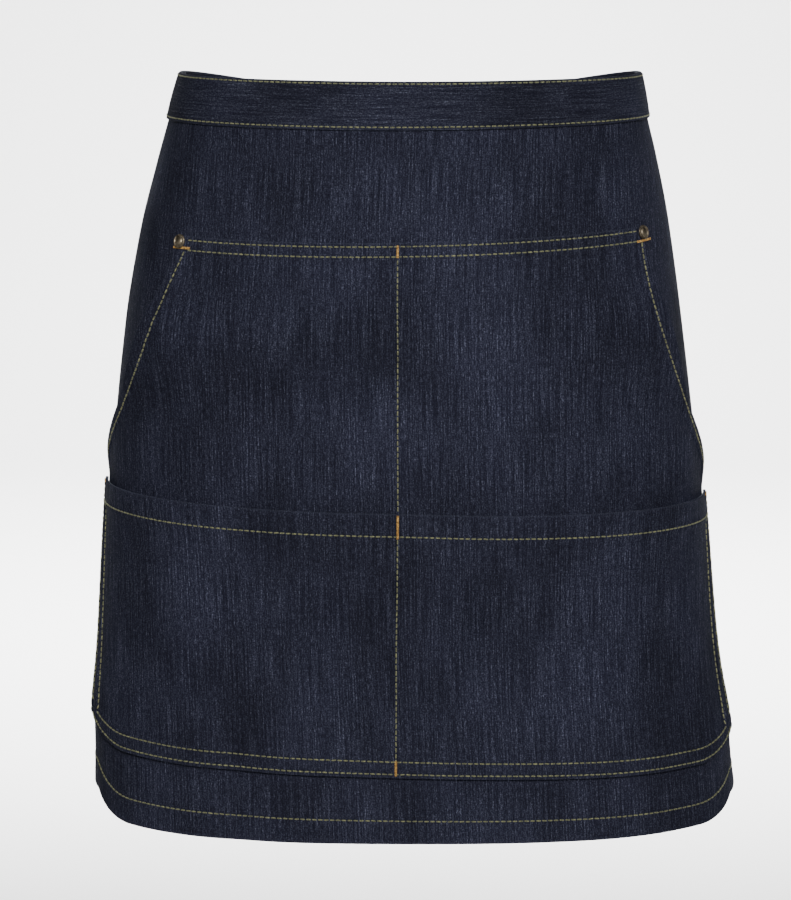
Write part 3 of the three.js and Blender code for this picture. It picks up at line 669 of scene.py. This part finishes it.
def capsule(long, wide, high, sides=8, rings=6):
    """Points and faces of a rounded dash along X that lies on Z 0."""
    points = [(-long / 2, 0, 0)]
    for ring in range(1, rings):
        turn = math.pi * ring / rings
        girth = math.sin(turn) ** 0.55
        place = 0.0 if ring * 2 == rings else math.cos(turn) * abs(math.cos(turn)) ** -0.25
        for side in range(sides):
            roll = 2 * math.pi * side / sides
            points.append((-long / 2 * place, wide / 2 * girth * math.cos(roll),
                           high * girth * math.sin(roll)))
    points.append((long / 2, 0, 0))
    faces = []
    for side in range(sides):
        after = (side + 1) % sides
        faces.append((0, 1 + after, 1 + side))
        for ring in range(rings - 2):
            a, b = 1 + ring * sides, 1 + (ring + 1) * sides
            faces.append((a + side, a + after, b + after, b + side))
        a = 1 + (rings - 2) * sides
        faces.append((a + side, a + after, len(points) - 1))
    return np.array(points), faces


def place_dashes(shape, centres, along, out):
    """Copies a dash to many centres, each turned along its row and out of the cloth."""
    points, faces = shape
    along = along / np.linalg.norm(along, axis=-1, keepdims=True)
    side = np.cross(out, along)
    side = side / np.linalg.norm(side, axis=-1, keepdims=True)
    up = np.cross(along, side)
    turned_points = centres[:, None]
    for axis, direction in enumerate((along, side, up)):
        turned_points = turned_points + points[None, :, axis, None] * direction[:, None]
    moved = [tuple(index + copy * len(points) for index in face)
             for copy in range(len(centres)) for face in faces]
    return turned_points.reshape(-1, 3), moved


def on_cloth(across, level, off):
    """A point on a face of the cloth, with the corners of the pockets drawn up."""
    return off_cloth(across, level - corner_lift(across, level), off)


def along_rows(paths):
    """Even stitch places along each path of (across, level, off) lines in millimetres:
    their middles, directions and the directions out of the cloth."""
    centres, along, out = [], [], []
    for path in paths:
        across, level, off = np.broadcast_arrays(*path)
        steps = np.linalg.norm(np.diff(on_cloth(across, level, off), axis=0), axis=1)
        walked = np.concatenate([[0], np.cumsum(steps)])
        count = max(1, int(walked[-1] / stitch_pitch))
        middles = (np.arange(count) + 0.5) * walked[-1] / count
        spots, beyond = ([np.interp(middles + shift, walked, value)
                          for value in (across, level, off)] for shift in (0, 0.4))
        centres.append(on_cloth(*spots))
        along.append(on_cloth(*beyond) - centres[-1])
        out.append(cloth_normal(spots[0], spots[1]))
    return (np.concatenate(part) for part in (centres, along, out))


def add_seam(name, paths):
    """One seam of stitches as one piece, each turned a little at random."""
    centres, along, out = along_rows(paths)
    jitter = chance.normal(0, 0.05, len(centres))[:, None]
    along = along + np.cross(out, along) * jitter
    stitch = capsule(stitch_long, stitch_wide, stitch_high)
    points, faces = place_dashes(stitch, centres, along, out)
    seam = add_mesh(name, points, faces, olive_thread, sharp=80)


def straight(start, end, step=2.0):
    """Numbers from start to end in small even steps."""
    return np.linspace(start, end, max(2, int(abs(end - start) / step)))


def face_row(across, level, face, sink=0.2):
    """A path on a layer's outer face."""
    return across, level, face(across, level) - sink


def side_run(side, inside, level, face):
    """A path at a distance inside the pockets' side edge."""
    return face_row(pocket_edge(side, level) - side * inside, level, face)


def level_run(level, left, right, face):
    """A path at one level from side to side of the pockets, short of their edges."""
    start, end = float(pocket_edge(-1, level)) + left, float(pocket_edge(1, level)) - right
    return face_row(straight(start, end), level, face)


end_to_end = straight(-half_cloth, half_cloth)
add_seam("band_foot_stitches", [(end_to_end, band_rows[1], band_outer - 0.15)])
add_seam("band_top_stitches", [(end_to_end, band_rows[0], band_outer - 0.12)])
add_seam("upper_pocket_top_stitches", [
    level_run(pocket_top + row, 13, 12, upper_outer) for row in top_rows])
level = straight(pocket_top + 10, mouth_end + 3, 6)
add_seam("mouth_stitches", [
    side_run(side, mouth_row(side, level), level, upper_outer) for side in (-1, 1)])
level = straight(pocket_top + 11, lower_top - 1)
add_seam("upper_centre_stitches", [face_row(seam_across(level), level, upper_outer, 0.25)])
level = straight(lower_top + 1, pocket_foot - 1)
add_seam("lower_centre_stitches", [face_row(seam_across(level), level, lower_outer, 0.25)])
start, end = (float(pocket_edge(side, lower_top)) - side for side in (-1, 1))
add_seam("lower_pocket_top_stitches", [
    face_row(straight(start, end), lower_top + lower_hem_row, lower_outer)])
paths = []
for inside, start in zip(side_rows, (mouth_end + 3, lower_top + 16)):
    level = straight(start, pocket_foot - 12)
    level = level[level > lower_top + 1]
    paths += [side_run(side, inside, level, lower_outer) for side in (-1, 1)]
add_seam("pocket_side_stitches", paths)
add_seam("pocket_foot_stitches", [
    level_run(pocket_foot - row, inside, inside, lower_outer)
    for row, inside in zip(foot_rows, side_rows)])
line = straight(-half_cloth + 2, half_cloth - 2)
add_seam("hem_stitches", [(line, cloth_length - hem_row, cloth_wall - 0.2)])
level = straight(band_height + 2, cloth_length - 2)
add_seam("side_hem_stitches", [
    (side * (half_cloth - side_row), level, cloth_wall - 0.2) for side in (-1, 1)])

# Bar tacks of gold thread lock the ends of the seams: short close bars of stitches laid
# side by side.
tack_wide, tack_thread, tack_high = 1.7, 0.5, 0.55


def add_tack(name, start, end, face):
    """A bar of close stitches between two places on the flat cloth."""
    start, end = np.array(start, float), np.array(end, float)
    count = max(6, int(np.linalg.norm(end - start) / (tack_thread * 0.8)))
    share = (np.arange(count) + 0.5) / count
    across, level = (start[i] + (end[i] - start[i]) * share for i in (0, 1))
    beyond = [value + (end[i] - start[i]) * 0.05 for i, value in enumerate((across, level))]
    off = face(across, level) + 0.05
    centres = on_cloth(across, level, off)
    out = cloth_normal(across, level)
    run = on_cloth(*beyond, off) - centres
    run = run / np.linalg.norm(run, axis=-1, keepdims=True)
    cross = np.cross(out, run)
    cross = cross / np.linalg.norm(cross, axis=-1, keepdims=True)
    lean = cross + 0.12 * run * chance.choice([-1, 1], count)[:, None]
    bar = capsule(tack_wide, tack_thread, tack_high, 6, 6)
    points, faces = place_dashes(bar, centres, lean, out)
    tack = add_mesh(name, points, faces, gold_thread, sharp=80)


for name, start, end, face in (
        ("top_centre_tack", pocket_top + 2, pocket_top + 10, upper_outer),
        ("lower_centre_tack", lower_top + 1, lower_top + 16.5, lower_outer),
        ("foot_centre_tack", pocket_foot - 11.5, pocket_foot - 1.5, lower_outer)):
    add_tack(name, (float(seam_across(start)), start), (float(seam_across(end)), end), face)
add_tack("left_corner_tack", (-151.0, pocket_top + 8.2), (-137.0, pocket_top + 8.0), upper_outer)
add_tack("right_corner_tack", (168.0, pocket_top + 9.6), (181.0, pocket_top + 9.0), upper_outer)
for name, side in (("left_mouth_tack", -1), ("right_mouth_tack", 1)):
    edge = float(pocket_edge(side, lower_top))
    level = lower_top + 1.5
    add_tack(name, (edge - side * 3, level), (edge - side * 11, level), lower_outer)

# The rivets are antique brass caps with a raised rim and a button in the middle, set
# through the pocket's two top corners.
rivet_radius, rivet_height, rivet_from_edge, rivet_drop = 4.7, 1.9, 6.8, 4.0
antique_brass, tree = new_material("antique_brass")
place = node(tree, "ShaderNodeTexCoord").outputs["Object"]
patina = node(tree, "ShaderNodeTexNoise", {
    "Vector": place, "Scale": 420.0, "Detail": 4.0}).outputs[0]
ramp = node(tree, "ShaderNodeValToRGB", {"Fac": patina})
stops = ramp.color_ramp.elements
stops[0].position, stops[1].position = 0.35, 0.7
stops[0].color, stops[1].color = hex_colour("433a30"), hex_colour("9c907a")
scratches = node(tree, "ShaderNodeTexNoise", {
    "Vector": place, "Scale": 2600.0, "Detail": 2.0}).outputs[0]
bump = node(tree, "ShaderNodeBump", {
    "Height": scratches, "Strength": 0.2, "Distance": 0.0001}).outputs[0]
gloss = node(tree, "ShaderNodeMapRange", {
    "Value": patina, "To Min": 0.58, "To Max": 0.44}).outputs[0]
shader = node(tree, "ShaderNodeBsdfPrincipled", {
    "Base Color": ramp.outputs[0], "Metallic": 0.9, "Roughness": gloss, "Normal": bump})
node(tree, "ShaderNodeOutputMaterial", {"Surface": shader.outputs[0]})
# columns: shares of the rivet's radius and height, from its seat to its top
rivet_profile = [
    (0.90, 0.00), (0.97, 0.06), (1.00, 0.20), (0.99, 0.42), (0.95, 0.62), (0.89, 0.72),
    (0.82, 0.72), (0.76, 0.62), (0.71, 0.48), (0.66, 0.44), (0.61, 0.48), (0.56, 0.62),
    (0.50, 0.78), (0.40, 0.90), (0.26, 0.97), (0.12, 1.00)]
rivet_turns = np.linspace(0, 2 * np.pi, 40, endpoint=False)
for name, side in (("rivet_left", -1), ("rivet_right", 1)):
    drop = pocket_top + rivet_drop
    across = float(pocket_edge(side, drop)) - side * rivet_from_edge
    seat = float(upper_outer(np.array(across), np.array(drop))) + 2 * seam_gap
    centre = off_cloth(across, drop, seat)
    out = cloth_normal(np.array(across), np.array(float(drop)))
    first = np.cross(out, [0, 0, 1])
    first /= np.linalg.norm(first)
    second = np.cross(out, first)
    circle = np.cos(rivet_turns)[:, None] * first + np.sin(rivet_turns)[:, None] * second
    points = [centre]
    for reach, up in rivet_profile:
        points += list(centre + circle * reach * rivet_radius + out * up * rivet_height)
    points.append(centre + out * rivet_height)
    faces, sides, top_ring = [], len(rivet_turns), len(rivet_profile) - 1
    for turn in range(sides):
        after = (turn + 1) % sides
        faces.append((0, 1 + turn, 1 + after))
        for ring in range(top_ring):
            a, b = 1 + ring * sides, 1 + (ring + 1) * sides
            faces.append((a + turn, b + turn, b + after, a + after))
        a = 1 + top_ring * sides
        faces.append((a + turn, len(points) - 1, a + after))
    rivet = add_mesh("brass_" + name, points, faces, antique_brass, sharp=60)
    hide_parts(name)

# The straps are tubes of the same denim, pressed flat and stitched along both edges.
# Each is sewn inside the band's end and is gathered where it enters the knot.
strap_width, strap_wall, strap_lap, strap_pinch = 25, 2, 28, 13
knot_half_width, knot_half_height, knot_half_depth = 14, 11, 9
strap_inner = band_inner - seam_gap - strap_wall
strap_denim = denim("strap_denim", "20212e", "0f0f1a", "343640", "525561", (1.0, 12.0), 50)


def strap_section(count=20):
    """A flat strap's closed outline as shares of its width and wall, with round edges."""
    wide = np.linspace(-1, 1, count)
    wide = np.sign(wide) * (1 - (1 - np.abs(wide)) ** 1.6)
    thick = (1 - np.abs(wide) ** 8) ** 0.5
    outline = [(w / 2, t / 2) for w, t in zip(wide, thick)]
    return np.array(outline + [(w, -t) for w, t in outline[-2:0:-1]])


strap_across, strap_through = strap_section().T[:, None]
strap_wear = rubbed_edge(0.5 - np.abs(strap_across), 0.35, 0.02)


def strap_relief(pinch, pleat):
    """The pleats where a strap is gathered, and its two edge seams where it is flat."""
    face = np.sign(strap_through)
    pleats = pleat * np.cos(strap_across * 2 * np.pi * 3.5) * pinch
    seams = -0.2 * np.exp(-((np.abs(strap_across) - 0.41) / 0.035) ** 2) * (1 - pinch)
    return face * (pleats * smooth_step(np.abs(strap_through), 0.1, 0.5) + seams)


for name, side in (("tie_left", -1), ("tie_right", 1)):
    lap = np.linspace(side * (half_cloth - strap_lap), side * band_end, 14)[:-1]
    free = np.linspace(0, 1, 60)
    start = np.concatenate([lap, np.full(len(free), side * band_end)])[:, None]
    share = np.concatenate([np.zeros(len(lap)), free])[:, None]
    pinch = smooth_step(share, 0.3, 1)
    width = strap_width + (strap_pinch - strap_width) * pinch
    drop = waist_level + strap_across * width
    loop = np.interp(drop, drops_known, half_loops)
    knot_side = side * (loop - knot_half_width - seam_gap) - cloth_turn
    across = start + (knot_side - side * band_end) * share
    off = (strap_inner + strap_wall / 2 + strap_through * strap_wall * (1 + pinch)
           + strap_relief(pinch, 0.42))
    points = off_cloth(across, drop, off).reshape(-1, 3)
    maps = np.stack([drop + 40, np.abs(across)], -1).reshape(-1, 2)
    wear = np.broadcast_to(strap_wear, across.shape)
    faces = [face[::side * -1] for face in strip_faces(*across.shape)]
    tie = add_mesh("strap_" + name, points, faces, strap_denim, maps, wear)
    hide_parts(name)

# The knot joins the two straps behind. It is a lump of gathered strap with a turn of
# strap drawn tight round its middle.
knot_across = float(np.interp(waist_level, drops_known, half_loops)) - cloth_turn
knot_centre = off_cloth(knot_across, waist_level, strap_inner + strap_wall / 2)
points, maps, wear = [], [], []
rings, sides = 40, 56
for ring in range(1, rings):
    tilt = math.pi * ring / rings
    for turn_step in range(sides):
        turn = 2 * math.pi * turn_step / sides
        ridge = 0.07 * math.sin(6 * tilt + 2.2 * math.sin(turn)) * math.sin(tilt)
        waist = 1 - 0.16 * math.exp(-((math.cos(tilt) - 0.15 * math.sin(turn)) / 0.30) ** 2)
        reach = (0.90 + ridge) * waist
        points.append((knot_centre[0] - knot_half_width * 0.97 * math.cos(tilt),
                       knot_centre[1] + knot_half_depth * reach * math.sin(tilt) * math.cos(turn),
                       knot_centre[2] + knot_half_height * reach * math.sin(tilt) * math.sin(turn)))
        maps.append((40 * tilt / math.pi + 500, 36 * turn / (2 * math.pi)))
        wear.append(max(0.0, 3 * ridge))
knot = add_mesh("denim_knot", points, strip_faces(rings - 1, sides), strap_denim, maps, wear, 75)
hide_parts("back_knot")

# The free ends hang from the knot and spread apart, each a flat strap.
tail_length, tail_spread, tail_swell = 240, 38, 12
# columns: share down the tail, out to its side, back, twist in degrees
tail_hang = np.array([(0, 0.22, 0.0, 0), (0.25, 0.45, 0.7, 12), (0.5, 0.70, 1.0, 20),
                      (0.75, 0.88, 0.8, 14), (1, 1.0, 0.5, 8)])


def tail_frame(side, down):
    """The middle line of a tail and its two directions, at shares down its length."""
    out, back, twist = (np.interp(down, tail_hang[:, 0], tail_hang[:, i]) for i in (1, 2, 3))
    twist = side * np.radians(twist)
    middle = np.stack([knot_centre[0] + side * tail_spread * out,
                       knot_centre[1] + tail_swell * back,
                       knot_centre[2] - knot_half_height - seam_gap - tail_length * down], -1)
    wide = np.stack([np.cos(twist), np.sin(twist), np.zeros_like(twist)], -1)
    thick = np.stack([-np.sin(twist), np.cos(twist), np.zeros_like(twist)], -1)
    return middle, wide, thick


down = np.linspace(0, 1, 110)
blend = np.hanning(25)
half_blend = len(blend) // 2
pinch = 1 - smooth_step(down, 0, 0.25)[:, None]
width = strap_width + (strap_pinch - strap_width) * pinch
cup = 0.8 * (4 * strap_across ** 2 - 0.4) * np.sin(np.pi * down)[:, None]
lift = strap_through * strap_wall * (1 + 0.5 * pinch) + strap_relief(pinch, 0.45) + cup
for name, side in (("tail_left", -1), ("tail_right", 1)):
    middle, wide, thick = tail_frame(side, down)
    for axis in (0, 1):
        padded = np.pad(middle[:, axis], half_blend, mode="reflect", reflect_type="odd")
        middle[:, axis] = np.convolve(padded, blend / blend.sum(), mode="valid")
    points = (middle[:, None] + wide[:, None] * (strap_across * width)[..., None]
              + thick[:, None] * lift[..., None])
    faces = [face[::-1] for face in strip_faces(*lift.shape)]
    maps = np.stack(np.broadcast_arrays(strap_across * width + 60, down[:, None] * tail_length),
                    -1).reshape(-1, 2)
    wear = np.broadcast_to(strap_wear, lift.shape)
    tail = add_mesh("strap_" + name, points.reshape(-1, 3), faces, strap_denim, maps, wear)
    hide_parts(name)
